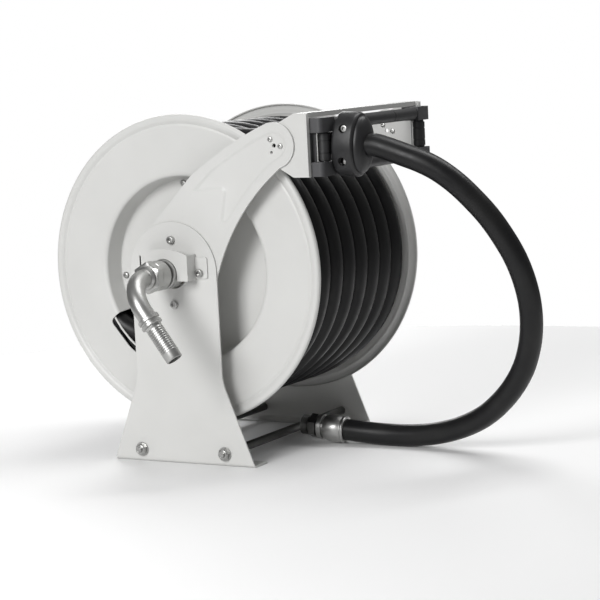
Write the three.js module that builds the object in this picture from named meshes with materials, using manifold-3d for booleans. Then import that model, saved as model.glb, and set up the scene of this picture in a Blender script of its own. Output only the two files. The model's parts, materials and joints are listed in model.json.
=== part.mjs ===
// Spring-rewind fire hose reel on two sheet-metal stands, with a swivel inlet and a four-roller hose guide.
// Millimetres, +Z up. The reel is drawn about its drum: X runs along the drum axis with the inlet at -X,
// the hose leaves towards -Y, and Z = 0 is the floor. The last lines put the origin in the middle of the
// reel's footprint.

import * as THREE from 'three';
import { mergeVertices } from 'three/addons/utils/BufferGeometryUtils.js';
import Module from 'manifold-3d';

const wasm = await Module();
wasm.setup();

// ---------------------------------------------------------------- driving dimensions

const GAP = 0.3;                 // clearance between pieces that touch or are bolted together
const AXLE_HEIGHT = 311;         // drum axis above the floor

const FLANGE_R = 250;            // drum flange
const FLANGE_X = 174;            // outermost plane of each flange, from the drum's middle
const SHEET = 2;                 // flange sheet
const RECESS_R = 152;            // mouth of the dished recess in each flange
const RECESS_DEPTH = 36;
const BARREL_R = 165;            // outside of the drum's barrel
const HOSE_R = 18;               // rubber hose, 36 mm outside
const PACK_R = 230;              // outside of the wound hose
const LAST_TURN_X = -148.5;      // lane of the hose's last turn, beside the inlet flange
const LAST_TURN_R = PACK_R - HOSE_R;

const PLATE = 3;                 // stand, arm and foot sheet
const STAND_LEFT_X = -203;       // outer face of the inlet-side stand
const STAND_RIGHT_X = 192;       // outer face of the spring-side stand
const STAND_BASE = 268;          // width at the floor
const STAND_WAIST = 162;         // width of the upright part
const WAIST_HEIGHT = 136;
const FOOT = 41;                 // foot flange, bent inwards
const TIE_BAR_R = 7;
const TIE_BAR_Y = 79;
const TIE_BAR_Z = 20;
const HUB_SCREWS_R = 52;         // circle of the four screws at each hub
const HUB_HOLE_R = 26;

const ARM_HUB_R = 79;
const ARM_END = [-195, 198];     // middle of the arm's round end, from the drum axis
const ARM_END_R = 36;

const GUIDE_Y = -268;            // axis plane of the four guide rollers
const GUIDE_FRONT_Y = -257;      // front edge of the guide's cheeks
const CHEEK = 2.5;
const ROLLER_R = 10;
const PIN_R = 4;
const ROLLER_TOP_Z = 227;        // heights from the drum axis
const ROLLER_BOTTOM_Z = 160;
const CARRIER_W = 43.6;          // corner carriers, along X
const CARRIER_FRONT_Y = -278;
const CARRIER_TOP = [215.5, 238];       // heights of a carrier's upper and lower blocks
const CARRIER_BOTTOM = [148.4, 170.5];
const UPRIGHT_ROLLER_INSET = 24; // upright roller's axis from the carrier's outer side
const SOCKET_DEPTH = 8;          // depth of the blind holes for the roller pins
const BRACKET_TOP = 246;         // guide bracket's top and bottom edges
const BRACKET_BOTTOM = 148;

const SHAFT_R = 17;
const SWIVEL_R = 24;
const NUT_FLATS = 44;
const ELBOW_R = 14.6;
const ELBOW_BEND = 55;
const TAIL_TILT = THREE.MathUtils.degToRad(36); // hose tail leans forwards from straight down

const STOP_HALF = [35, 50];      // hose stop: an upright oval block, half its width and half its height
const STOP_BACK_Y = -281;
const STOP_FRONT_Y = -318;
const STOP_EDGE = 5;
const STOP_DOME = 16;            // height of the dome towards the hose
const STOP_SCREW_Z = 25;         // cross screws above and below the hose
const LEAD_SLOPE = 0.0633;       // fall of the hose from the drum to the stop, per millimetre forwards

// ---------------------------------------------------------------- materials

const finish = (color, roughness, metalness = 0) =>
  new THREE.MeshStandardMaterial({ color, roughness, metalness });
const PAINT = finish(0xdcdcd8, 0.45);
const RUBBER = finish(0x1b1b1c, 0.6);
const BLACK_PLASTIC = finish(0x202122, 0.45);
const GREY_PLASTIC = finish(0x4a4b4c, 0.55);
const ZINC = finish(0xb9babb, 0.3, 0.9);
const DARK_STEEL = finish(0x5a5a58, 0.4, 0.8);
const SPRING_STEEL = finish(0x4b5560, 0.35, 0.9);
const BRONZE = finish(0xa8834a, 0.4, 0.8);
const SEAL_RUBBER = finish(0x151515, 0.7);

// ---------------------------------------------------------------- solids

function toSolid(geometry) {
  const bare = geometry.clone();
  bare.deleteAttribute('normal');
  bare.deleteAttribute('uv');
  const merged = mergeVertices(bare, 1e-4);
  const corners = merged.attributes.position.array;
  const point = (i) => new THREE.Vector3(corners[3 * i], corners[3 * i + 1], corners[3 * i + 2]);
  const faces = [];
  let volume = 0;
  for (let i = 0; i < merged.index.count; i += 3) {
    const [a, b, c] = [merged.index.getX(i), merged.index.getX(i + 1), merged.index.getX(i + 2)];
    if (a === b || b === c || c === a) continue;
    faces.push([a, b, c]);
    volume += point(a).dot(point(b).cross(point(c)));
  }
  const outward = volume < 0 ? faces.map(([a, b, c]) => [a, c, b]) : faces;
  const vertProperties = Float32Array.from(corners);
  const triVerts = Uint32Array.from(outward.flat());
  return new wasm.Manifold(new wasm.Mesh({ numProp: 3, vertProperties, triVerts }));
}

function toGeometry(solid) {
  const mesh = solid.getMesh();
  const geometry = new THREE.BufferGeometry();
  geometry.setAttribute('position', new THREE.BufferAttribute(Float32Array.from(mesh.vertProperties), 3));
  geometry.setIndex(new THREE.BufferAttribute(Uint32Array.from(mesh.triVerts), 1));
  geometry.computeVertexNormals();
  return geometry;
}

const join = (...parts) => toGeometry(parts.map(toSolid).reduce((whole, part) => whole.add(part)));
const cut = (body, ...tools) =>
  toGeometry(tools.map(toSolid).reduce((rest, tool) => rest.subtract(tool), toSolid(body)));

// Points of an arc in a drawing plane, from one angle to another in degrees.
function arc(x, y, radius, from, to, steps) {
  return Array.from({ length: steps + 1 }, (_, i) => {
    const angle = THREE.MathUtils.degToRad(from + ((to - from) * i) / steps);
    return new THREE.Vector2(x + radius * Math.cos(angle), y + radius * Math.sin(angle));
  });
}

const circle = (x, y, radius, sides = 12) => arc(x, y, radius, 0, 360, sides).slice(0, sides);

// A plate across the drum axis. Its outline and holes are drawn in (Y, Z).
function plate(outline, x, thickness, holes = []) {
  const shape = new THREE.Shape(outline);
  shape.holes = holes.map((points) => new THREE.Path(points));
  const turnedToX = new THREE.Matrix4().makeBasis(
    new THREE.Vector3(0, 1, 0), new THREE.Vector3(0, 0, 1), new THREE.Vector3(1, 0, 0));
  const flat = new THREE.ExtrudeGeometry(shape, { depth: thickness, bevelEnabled: false });
  return flat.applyMatrix4(turnedToX).translate(x, 0, 0);
}

// A closed ring about the X axis, from a loop of [x, radius] corners.
function ring(loop, sides = 48) {
  const corners = [...loop, loop[0]].map(([x, radius]) => new THREE.Vector2(radius, x));
  return new THREE.LatheGeometry(corners, sides).rotateZ(-Math.PI / 2);
}

// A full solid about the X axis, from [x, radius] corners between its two ends on the axis.
function spindle(corners, sides = 24) {
  const closed = [[corners[0][0], 0], ...corners, [corners.at(-1)[0], 0]];
  const outline = closed.map(([x, radius]) => new THREE.Vector2(radius, x));
  return new THREE.LatheGeometry(outline, sides).rotateZ(-Math.PI / 2);
}

const block = (x0, x1, y0, y1, z0, z1) =>
  new THREE.BoxGeometry(x1 - x0, y1 - y0, z1 - z0).translate((x0 + x1) / 2, (y0 + y1) / 2, (z0 + z1) / 2);
const rodX = (x0, x1, radius, y = 0, z = 0, sides = 16) =>
  spindle([[x0, radius], [x1, radius]], sides).translate(0, y, z);
const rodZ = (z0, z1, radius, x, y, sides = 16) =>
  rodX(z0, z1, radius, 0, 0, sides).rotateY(-Math.PI / 2).translate(x, y, 0);

// A round bar or hose along a smooth curve through the points.
function hose(points, radius, sides, steps) {
  const route = new THREE.CatmullRomCurve3(points.map((p) => new THREE.Vector3(...p)), false, 'centripetal');
  const section = new THREE.Shape(circle(0, 0, radius, sides));
  return new THREE.ExtrudeGeometry(section, { steps, bevelEnabled: false, extrudePath: route });
}

const reel = new THREE.Group();
const hub = new THREE.Group();   // pieces drawn from the drum axis
hub.position.z = AXLE_HEIGHT;
reel.add(hub);

function piece(name, geometry, material, parent = hub) {
  const mesh = new THREE.Mesh(toGeometry(toSolid(geometry)), material);
  mesh.name = name;
  parent.add(mesh);
  return mesh;
}

const hubScrewPlaces = [0, 90, 180, 270].map((angle) => arc(0, 0, HUB_SCREWS_R, angle, angle, 1)[0]);

// ---------------------------------------------------------------- frame

const leftInner = STAND_LEFT_X + PLATE;
const rightInner = STAND_RIGHT_X - PLATE;

// The outline stands on the floor and ends in a round top about the drum axis.
function stand(outerX, inward) {
  const half = STAND_BASE / 2;
  const waist = STAND_WAIST / 2;
  const outline = [
    new THREE.Vector2(-half, 0), new THREE.Vector2(half, 0), new THREE.Vector2(waist, WAIST_HEIGHT),
    ...arc(0, AXLE_HEIGHT, waist, 0, 180, 20), new THREE.Vector2(-waist, WAIST_HEIGHT),
  ];
  const holes = [
    circle(0, AXLE_HEIGHT, HUB_HOLE_R, 20),
    ...hubScrewPlaces.map((p) => circle(p.x, AXLE_HEIGHT + p.y, 4.3)),
    ...[-1, 1].map((side) => circle(side * TIE_BAR_Y, TIE_BAR_Z, 5.5)),
  ];
  const sheetX = inward > 0 ? outerX : outerX - PLATE;
  const footEnd = outerX + inward * FOOT;
  const foot = block(Math.min(outerX, footEnd), Math.max(outerX, footEnd), -half, half, 0, PLATE);
  return join(plate(outline, sheetX, PLATE, holes), foot);
}

piece('stand_left', stand(STAND_LEFT_X, 1), PAINT, reel);
piece('stand_right', stand(STAND_RIGHT_X, -1), PAINT, reel);

// Hexagon bolt with its washer. The plate's outer face is at x = 0, and the head points towards -X.
function bolt(flats, headLength, washerR, shankR) {
  const head = rodX(-headLength - 2 - GAP, -1.5, flats / Math.sqrt(3), 0, 0, 6);
  const washer = rodX(-2 - GAP, -GAP, washerR, 0, 0, 20);
  const shank = rodX(-1, PLATE, shankR, 0, 0, 12);
  return join(head, washer, shank);
}

for (const [place, side] of [['front', -1], ['rear', 1]]) {
  const y = side * TIE_BAR_Y;
  const bar = rodX(leftInner + GAP, rightInner - GAP, TIE_BAR_R, y, TIE_BAR_Z, 16);
  piece(`tie_bar_${place}`, bar, DARK_STEEL, reel);
  const left = piece(`tie_bolt_${place}_left`, bolt(17, 7, 11.5, 5), ZINC, reel);
  left.position.set(STAND_LEFT_X, y, TIE_BAR_Z);
  const right = piece(`tie_bolt_${place}_right`, bolt(17, 7, 11.5, 5), ZINC, reel);
  right.position.set(STAND_RIGHT_X, y, TIE_BAR_Z);
  right.rotation.z = Math.PI;
}

// ---------------------------------------------------------------- arms

function armOutline() {
  const upper = new THREE.QuadraticBezierCurve(
    new THREE.Vector2(-41, 153), new THREE.Vector2(-125, 211), new THREE.Vector2(-186, 233));
  const lower = new THREE.QuadraticBezierCurve(
    new THREE.Vector2(-205, 163.5), new THREE.Vector2(-110.5, 94.2), new THREE.Vector2(-76.5, -19.6));
  return [
    ...arc(0, 0, ARM_HUB_R, 196, 405, 22),
    ...upper.getPoints(8),
    ...arc(...ARM_END, ARM_END_R, 78, 252, 18),
    ...lower.getPoints(12).slice(0, -1),
  ];
}

const armHoles = [
  circle(0, 0, HUB_HOLE_R + 5, 20),
  ...hubScrewPlaces.map((p) => circle(p.x, p.y, 4.3)),
  circle(...ARM_END, 4),
  ...[20, 140, 260].map((angle) => {
    const p = arc(...ARM_END, 11.5, angle, angle, 1)[0];
    return circle(p.x, p.y, 2.6, 10);
  }),
];

piece('arm_left', plate(armOutline(), leftInner + GAP, PLATE, armHoles), PAINT);
piece('arm_right', plate(armOutline(), rightInner - GAP - PLATE, PLATE, armHoles), PAINT);

// ---------------------------------------------------------------- guide head

const guideLeft = leftInner + 2 * GAP + PLATE;       // outer face of the inlet-side cheek
const guideRight = rightInner - 2 * GAP - PLATE;
const carrierLeft = guideLeft + CHEEK + GAP;         // outer side of the inlet-side carrier
const carrierRight = guideRight - CHEEK - GAP;

// Two cheeks joined by a top strip, with a lip along the strip's front and a narrow fold on each cheek.
function guideBracket() {
  const cheek = [
    new THREE.Vector2(GUIDE_FRONT_Y, BRACKET_BOTTOM), new THREE.Vector2(-226.5, BRACKET_BOTTOM),
    new THREE.Vector2(-200, 164), ...arc(-184, 200, 22, -65, 85, 8),
    new THREE.Vector2(-231, BRACKET_TOP), new THREE.Vector2(GUIDE_FRONT_Y, BRACKET_TOP),
  ];
  const holes = [circle(...ARM_END, 4)];
  const fold = [GUIDE_FRONT_Y, GUIDE_FRONT_Y + CHEEK, BRACKET_BOTTOM, BRACKET_TOP];
  return join(
    plate(cheek, guideLeft, CHEEK, holes),
    plate(cheek, guideRight - CHEEK, CHEEK, holes),
    block(guideLeft, guideRight, -250, -231, BRACKET_TOP - CHEEK, BRACKET_TOP),
    block(guideLeft, guideRight, -250, -250 + CHEEK, 238.5, BRACKET_TOP),
    block(guideLeft - 6, guideLeft + 1, ...fold),
    block(guideRight - 1, guideRight + 6, ...fold),
  );
}
piece('guide_bracket', guideBracket(), PAINT);

const uprightX = { left: carrierLeft + UPRIGHT_ROLLER_INSET, right: carrierRight - UPRIGHT_ROLLER_INSET };

// Corner carrier: a web with a block at top and bottom, bored for the ends of the roller pins.
// Each block's outer front corner is rounded.
function carrier(outerX, inward) {
  const span = (from, to) => [outerX + inward * from, outerX + inward * to].sort((a, b) => a - b);
  const plan = new THREE.Shape([
    new THREE.Vector2(outerX, -247), new THREE.Vector2(outerX + inward * CARRIER_W, -247),
    new THREE.Vector2(outerX + inward * CARRIER_W, CARRIER_FRONT_Y),
    ...[0, 30, 60, 90].map((angle) => {
      const turn = THREE.MathUtils.degToRad(angle);
      const x = outerX + inward * 10 * (1 - Math.sin(turn));
      return new THREE.Vector2(x, CARRIER_FRONT_Y + 10 * (1 - Math.cos(turn)));
    }),
  ]);
  const corner = ([low, high]) =>
    new THREE.ExtrudeGeometry(plan, { depth: high - low, bevelEnabled: false }).translate(0, 0, low);
  const web = block(...span(0, 9), -256, -247, CARRIER_BOTTOM[1] - 10, CARRIER_TOP[0] + 10);
  const body = join(corner(CARRIER_TOP), corner(CARRIER_BOTTOM), web);
  const mouth = span(CARRIER_W - SOCKET_DEPTH, CARRIER_W + 2);
  const upright = outerX + inward * UPRIGHT_ROLLER_INSET;
  return cut(
    body,
    rodX(...mouth, PIN_R + GAP, GUIDE_Y, ROLLER_TOP_Z, 12),
    rodX(...mouth, PIN_R + GAP, GUIDE_Y, ROLLER_BOTTOM_Z, 12),
    rodZ(CARRIER_BOTTOM[1] - SOCKET_DEPTH, CARRIER_TOP[0] + SOCKET_DEPTH, PIN_R + GAP, upright, GUIDE_Y, 12),
  );
}
piece('roller_carrier_left', carrier(carrierLeft, 1), GREY_PLASTIC);
piece('roller_carrier_right', carrier(carrierRight, -1), GREY_PLASTIC);

// Roller tube with a bore for its pin and chamfered ends, along X about its own middle.
function roller(length) {
  const end = length / 2;
  const bore = PIN_R + 0.5;
  return ring([
    [-end, bore], [end, bore], [end, ROLLER_R - 1], [end - 1, ROLLER_R],
    [1 - end, ROLLER_R], [-end, ROLLER_R - 1],
  ], 20);
}

const pinReach = SOCKET_DEPTH - 1;
const across = [carrierLeft + CARRIER_W, carrierRight - CARRIER_W];
for (const [place, z] of [['top', ROLLER_TOP_Z], ['bottom', ROLLER_BOTTOM_Z]]) {
  const tube = piece(`roller_${place}`, roller(across[1] - across[0] - 1), BLACK_PLASTIC);
  tube.position.set((across[0] + across[1]) / 2, GUIDE_Y, z);
  const pin = rodX(across[0] - pinReach, across[1] + pinReach, PIN_R, GUIDE_Y, z, 12);
  piece(`roller_pin_${place}`, pin, ZINC);
}

const upright = [CARRIER_BOTTOM[1], CARRIER_TOP[0]];
for (const side of ['left', 'right']) {
  const tube = piece(`roller_${side}`, roller(upright[1] - upright[0] - 1), BLACK_PLASTIC);
  tube.rotation.y = -Math.PI / 2;
  tube.position.set(uprightX[side], GUIDE_Y, (upright[0] + upright[1]) / 2);
  const pin = rodZ(upright[0] - pinReach, upright[1] + pinReach, PIN_R, uprightX[side], GUIDE_Y, 12);
  piece(`roller_pin_${side}`, pin, ZINC);
}

// ---------------------------------------------------------------- hub bearings and inlet

// Inner face of the inlet-side arm, where the bearing housing is screwed on.
const HOUSING_X = [guideLeft, guideLeft + 5.4];
const HOUSING_BOSS_X = -180;
const hubScrewBores = hubScrewPlaces.map((p) => rodX(-400, 400, 4.3, p.x, p.y, 12));
piece('bearing_housing_left', cut(
  join(rodX(...HOUSING_X, 62, 0, 0, 32), rodX(HOUSING_X[0], HOUSING_BOSS_X, 32, 0, 0, 32)),
  rodX(-400, 400, 22, 0, 0, 32),
  ...hubScrewBores,
), PAINT);
piece('bearing_left', ring([
  [HOUSING_X[0], SHAFT_R + 0.4], [HOUSING_BOSS_X, SHAFT_R + 0.4],
  [HOUSING_BOSS_X, 21.7], [HOUSING_X[0], 21.7],
], 32), BRONZE);

// Omega bracket over the swivel: its front plate is open at the bottom for the swivel body.
function swivelBracket() {
  const half = 44.5;
  const opening = SWIVEL_R + 0.6;
  const face = [
    new THREE.Vector2(-half, -11), new THREE.Vector2(-opening, -11),
    ...arc(0, 0, opening, 180, 0, 12), new THREE.Vector2(opening, -11), new THREE.Vector2(half, -11),
    ...arc(0, -60, 100, 63.6, 116.4, 8),
  ];
  const flangeX = STAND_LEFT_X - GAP - 2.5;
  const sides = [-1, 1].flatMap((side) => {
    const span = (from, to) => [Math.min(side * from, side * to), Math.max(side * from, side * to)];
    const web = block(-230, flangeX + 1, ...span(half - 2.5, half), -11, 27);
    const flange = cut(block(flangeX, flangeX + 2.5, ...span(half - 2.5, 66), -9, 25),
      rodX(-400, 400, 4.3, side * HUB_SCREWS_R, 0, 12));
    return [web, flange];
  });
  return join(plate(face, -230, 2.5), ...sides);
}
piece('swivel_bracket', swivelBracket(), PAINT);

piece('swivel_body', ring([
  [-204, SWIVEL_R], [-244, SWIVEL_R], [-244, 19], [-262, 19],
  [-262, 11.5], [-246, 11.5], [-246, SHAFT_R + 0.4], [-204, SHAFT_R + 0.4],
], 24), ZINC);
piece('swivel_seal', ring([
  [-245.6, 12.2], [-241.4, 12.2], [-241.4, SHAFT_R], [-245.6, SHAFT_R],
], 24), SEAL_RUBBER);

// Union nut: hexagon over the swivel's spigot, with a lip that holds the elbow's collar.
piece('swivel_nut', cut(
  rodX(-280, -244.4, NUT_FLATS / Math.sqrt(3), 0, 0, 6),
  rodX(-272, -230, 19.4, 0, 0, 24),
  rodX(-290, -260, ELBOW_R + 0.5, 0, 0, 24),
), ZINC);

// Swept elbow from the nut to the barbed hose tail, with a collar between them.
function inletElbow() {
  const down = new THREE.Vector3(0, -Math.sin(TAIL_TILT), -Math.cos(TAIL_TILT));
  const bendStart = new THREE.Vector3(-285, 0, 0);
  const bend = Array.from({ length: 9 }, (_, i) => {
    const angle = (i * Math.PI) / 16;
    return bendStart.clone().add(new THREE.Vector3(-ELBOW_BEND * Math.sin(angle), 0, 0))
      .addScaledVector(down, ELBOW_BEND * (1 - Math.cos(angle)));
  });
  const straight = bend.at(-1).clone().addScaledVector(down, 10);
  const route = [[-265, 0, 0], [-275, 0, 0], ...bend.map((p) => p.toArray()), straight.toArray()];
  const barbs = [0, 1, 2, 3, 4, 5].flatMap((i) => [[30 + 9 * i, 13.8], [38.5 + 9 * i, 12.8]]);
  const tail = cut(
    spindle([[2, 14], [13, 14], [13, 17.8], [26, 17.8], [26, 13.5], ...barbs, [89, 13.4]], 20),
    rodX(70, 100, 10.6, 0, 0, 16),
  );
  const aim = new THREE.Quaternion().setFromUnitVectors(new THREE.Vector3(1, 0, 0), down);
  tail.applyQuaternion(aim).translate(...bend.at(-1).toArray());
  return join(hose(route, ELBOW_R, 14, 16), tail, rodX(-271.7, -262.4, 18.9, 0, 0, 24));
}
piece('inlet_elbow', inletElbow(), ZINC);

// Fixed arbor on the spring side: its flange is screwed to the stand through the arm.
piece('spring_arbor', cut(
  join(
    rodX(82, guideRight, 16, 0, 0, 24),
    rodX(170, guideRight, 30, 0, 0, 32),
    rodX(guideRight - 4.4, guideRight, 62, 0, 0, 32),
  ),
  ...hubScrewBores,
), DARK_STEEL);

for (const [side, outerX, direction] of [['left', STAND_LEFT_X, 1], ['right', STAND_RIGHT_X, -1]]) {
  hubScrewPlaces.forEach((p, i) => {
    const underBracket = side === 'left' && i % 2 === 0;
    const seat = underBracket ? 2.5 + GAP : 0;
    const head = rodX(-5.5 - seat - GAP, -seat - GAP, 6.5, 0, 0, 12);
    const screw = piece(`hub_screw_${side}_${i + 1}`, join(head, rodX(-seat - 1, 12, 4, 0, 0, 12)), ZINC);
    screw.position.set(outerX, p.x, p.y);
    if (direction < 0) screw.rotation.z = Math.PI;
  });
}

// ---------------------------------------------------------------- drum

// Dished sheet flange with a rolled rim. Distances u are measured from the drum's middle.
function flange(direction, holeR) {
  const mouth = FLANGE_X - 3;
  const floor = mouth - RECESS_DEPTH + 1;
  const loop = [
    [floor, holeR], [floor, 144], [floor + 3, 148], [mouth - 3, RECESS_R], [mouth, RECESS_R + 3],
    [mouth, 234], [FLANGE_X, 238], [FLANGE_X, 247], [mouth, FLANGE_R], [mouth - 4, FLANGE_R],
    [mouth - 4, 248], [mouth, 245], [mouth, 240],
    [mouth - SHEET, 235.5], [mouth - SHEET, RECESS_R + 4.5], [mouth - 4.2, RECESS_R + 2],
    [floor + 2, 150], [floor - SHEET, 145.5], [floor - SHEET, holeR],
  ];
  return ring(loop.map(([u, radius]) => [direction * u, radius]), 40);
}

// Window for the feed hose: it opens the flange's face and the wall of its recess.
const window = block(-200, -131, -61, 61, 134, 173).rotateX(THREE.MathUtils.degToRad(-139.5));
piece('flange_left', cut(flange(-1, SHAFT_R + GAP), window), PAINT);
piece('flange_right', flange(1, 22), PAINT);

const barrelSlot = block(-167, -96, -76, 76, 130, 180).rotateX(THREE.MathUtils.degToRad(-128));
piece('barrel', cut(ring([
  [-168.6, BARREL_R - 3], [168.6, BARREL_R - 3], [168.6, BARREL_R], [-168.6, BARREL_R],
]), barrelSlot), PAINT);

// Wound hose, with a free lane in its outer layer for the last turn.
piece('hose_pack', ring([
  [-168.4, BARREL_R + 0.5], [168.4, BARREL_R + 0.5], [168.4, PACK_R], [-129, PACK_R],
  [-129, LAST_TURN_R - HOSE_R - 1.2], [-168.4, LAST_TURN_R - HOSE_R - 1.2],
]), RUBBER);

// Hollow shaft from the swivel to the outlet inside the barrel, with a collar behind the flange.
piece('drum_shaft', cut(
  spindle([
    [-241, SHAFT_R], [-132.7, SHAFT_R], [-132.7, 40], [-128, 40], [-128, SHAFT_R + 3], [-60, SHAFT_R + 3],
  ], 32),
  rodX(-250, -80, 11.5, 0, 0, 20),
  rodZ(-40, 0, 11.5, -95, 0, 16),
), ZINC);

// The outlet elbow hangs from the shaft and turns to the rear, where the feed hose takes over.
piece('outlet_elbow', hose([
  [-95, 0, -22], [-95, -10, -48], [-95.5, -19, -74], [-96, -22, -98], [-97, -15, -115], [-98, 2, -125],
], 14, 12, 12), ZINC);
piece('feed_hose', hose([
  [-98.2, 4, -126], [-100, 19, -132], [-105, 35, -136], [-111, 51, -135],
], 16, 12, 8), RUBBER);

piece('spring_case', ring([
  [67, 22], [70.2, 22], [70.2, 126], [132.6, 126], [132.6, 130], [67, 130],
], 40), DARK_STEEL);
piece('spring_cover', ring([
  [137, 22], [139, 22], [139, 109], [143, 118], [141, 118], [137, 112],
], 40), PAINT);
piece('hub_bush_right', ring([[118, 16.4], [146, 16.4], [146, 21.6], [118, 21.6]], 32), BRONZE);

// Flat spiral spring inside the case, clear of the case and the arbor.
function powerSpring() {
  const turns = 6;
  const steps = 18 * turns;
  const strip = 1.4;
  const radiusAt = (t) => 24 + 96 * t;
  const side = (offset) => Array.from({ length: steps + 1 }, (_, i) => {
    const t = i / steps;
    const angle = 2 * Math.PI * turns * t;
    const radius = radiusAt(t) + offset;
    return new THREE.Vector2(radius * Math.cos(angle), radius * Math.sin(angle));
  });
  return plate([...side(strip / 2), ...side(-strip / 2).reverse()], 73, 42);
}
piece('power_spring', powerSpring(), SPRING_STEEL);

// ---------------------------------------------------------------- ratchet

const RATCHET_TEETH = 12;
const RATCHET_X = 144;
const RATCHET_ROOT_R = 50;
const RATCHET_TIP_R = 60;
function ratchetWheel() {
  const pitch = 360 / RATCHET_TEETH;
  const outline = Array.from({ length: RATCHET_TEETH }, (_, i) => {
    const start = pitch * i + pitch / 2;
    const root = arc(0, 0, RATCHET_ROOT_R, start, start + 14, 2);
    return [...root, ...arc(0, 0, RATCHET_TIP_R, start + 16, start + 27, 2)];
  }).flat();
  return plate(outline, RATCHET_X, 5, [circle(0, 0, 23, 24)]);
}
piece('ratchet_wheel', ratchetWheel(), DARK_STEEL);

// The pawl reaches over one tooth, its nose rests between two, and it lifts out forwards about its pivot.
const PAWL_PIVOT = [-22, 88];
const pawlOutline = [
  ...arc(...PAWL_PIVOT, 11, -50, 140, 10),
  ...[[-58, 52], [-47.5, 31], [-41.5, 33.5], [-45, 47]].map(([y, z]) => new THREE.Vector2(y, z)),
];
piece('pawl', plate(pawlOutline, RATCHET_X, 5, [circle(...PAWL_PIVOT, 5.4, 16)]), DARK_STEEL);
piece('pawl_pivot', rodX(RATCHET_X - 3, guideRight, 5, ...PAWL_PIVOT, 16), ZINC);
const pawlSpring = ring([[150, 5.8], [158, 5.8], [158, 8.4], [150, 8.4]], 16);
piece('pawl_spring', pawlSpring.translate(0, ...PAWL_PIVOT), SPRING_STEEL);

// ---------------------------------------------------------------- hose outside the drum

// The last turn lies in its lane; the lead leaves it at the top and runs forwards through the guide.
const leadAt = (x, y) => [x, y, LAST_TURN_R + 0.6 + LEAD_SLOPE * (y + 13)];
piece('hose_last_turn', join(
  new THREE.TorusGeometry(LAST_TURN_R, HOSE_R, 10, 40).rotateY(Math.PI / 2).translate(LAST_TURN_X, 0, 0),
  hose([
    leadAt(-148.5, -13), leadAt(-148.5, -80), leadAt(-148.5, -150), leadAt(-144.5, -205),
    leadAt(-140.5, -255), leadAt(-140, -290), leadAt(-140, -332),
  ], HOSE_R, 12, 10),
), RUBBER);

// Hose stop: two halves clamped over the lead by two cross screws.
const stop = new THREE.Group();
stop.position.set(-140, GUIDE_Y, leadAt(0, GUIDE_Y)[2]);
stop.rotation.x = Math.atan(LEAD_SLOPE);
hub.add(stop);
const stopScrews = { upper: STOP_SCREW_Z, lower: -STOP_SCREW_Z };
const stopScrewY = (STOP_BACK_Y + STOP_FRONT_Y) / 2 - GUIDE_Y;
function stopHalf(side) {
  const [width, height] = STOP_HALF.map((half) => half - STOP_EDGE);
  const oval = new THREE.Shape().absellipse(0, 0, width, height, 0, 2 * Math.PI);
  const body = new THREE.ExtrudeGeometry(oval, {
    depth: STOP_BACK_Y - STOP_FRONT_Y - 2 * STOP_EDGE,
    curveSegments: 18, bevelThickness: STOP_EDGE, bevelSize: STOP_EDGE, bevelSegments: 3,
  });
  body.translate(0, 0, STOP_EDGE).rotateX(Math.PI / 2).translate(0, STOP_BACK_Y - GUIDE_Y, 0);
  const dome = new THREE.SphereGeometry(1, 36, 14).scale(width, STOP_DOME, height);
  dome.translate(0, STOP_FRONT_Y - GUIDE_Y, 0);
  const span = (from, to) => [side * from, side * to].sort((a, b) => a - b);
  const keep = block(...span(GAP / 2, 100), -200, 100, -100, 100);
  const screws = Object.values(stopScrews).flatMap((z) => [
    rodX(-60, 60, 3.4, stopScrewY, z, 12),
    rodX(...span(20, 60), 6.5, stopScrewY, z, 16),
  ]);
  const bore = rodX(0, 100, HOSE_R + 0.6, 0, 0, 36).rotateZ(-Math.PI / 2);
  return cut(toGeometry(toSolid(join(body, dome)).intersect(toSolid(keep))), bore, ...screws);
}
piece('stop_half_left', stopHalf(-1), BLACK_PLASTIC, stop);
piece('stop_half_right', stopHalf(1), BLACK_PLASTIC, stop);
for (const [place, z] of Object.entries(stopScrews)) {
  const shank = rodX(-21, 26, 3, stopScrewY, z, 12);
  const head = rodX(-26.4, -20.4, 5.6, stopScrewY, z, 12);
  const nut = rodX(20.4, 25.4, 5.6, stopScrewY, z, 6);
  piece(`stop_screw_${place}`, join(shank, head, nut), ZINC, stop);
}

// Free end: out of the stop, round in a loop to the floor, and back to the fitting before the front tie bar.
const freeRoute = [
  [-140, -332.6, 503.4], [-140, -342, 502.8], [-139.2, -362, 496.8], [-137.5, -386, 488], [-134.5, -412, 478],
  [-129, -438, 464], [-121, -466, 441.5], [-111, -491, 413.5], [-101.5, -509, 388.5], [-90, -524.5, 359],
  [-78, -537.5, 327], [-65.5, -545.5, 292.5], [-52.5, -548.5, 254.5], [-40, -545, 216], [-29, -536, 181.5],
  [-18.5, -520.5, 146], [-9, -498.5, 114], [-1, -472.5, 86.5], [6, -441.5, 62], [12, -406.5, 43.5],
  [16.5, -369.5, 30.5], [19, -332, 22.5], [20, -295, 18.8], [20, -258, 18.3], [16.9, -222, 20.2],
  [14.4, -183.5, 23.6],
];
piece('hose_free', hose(freeRoute, HOSE_R, 10, 44), RUBBER, reel);

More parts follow.
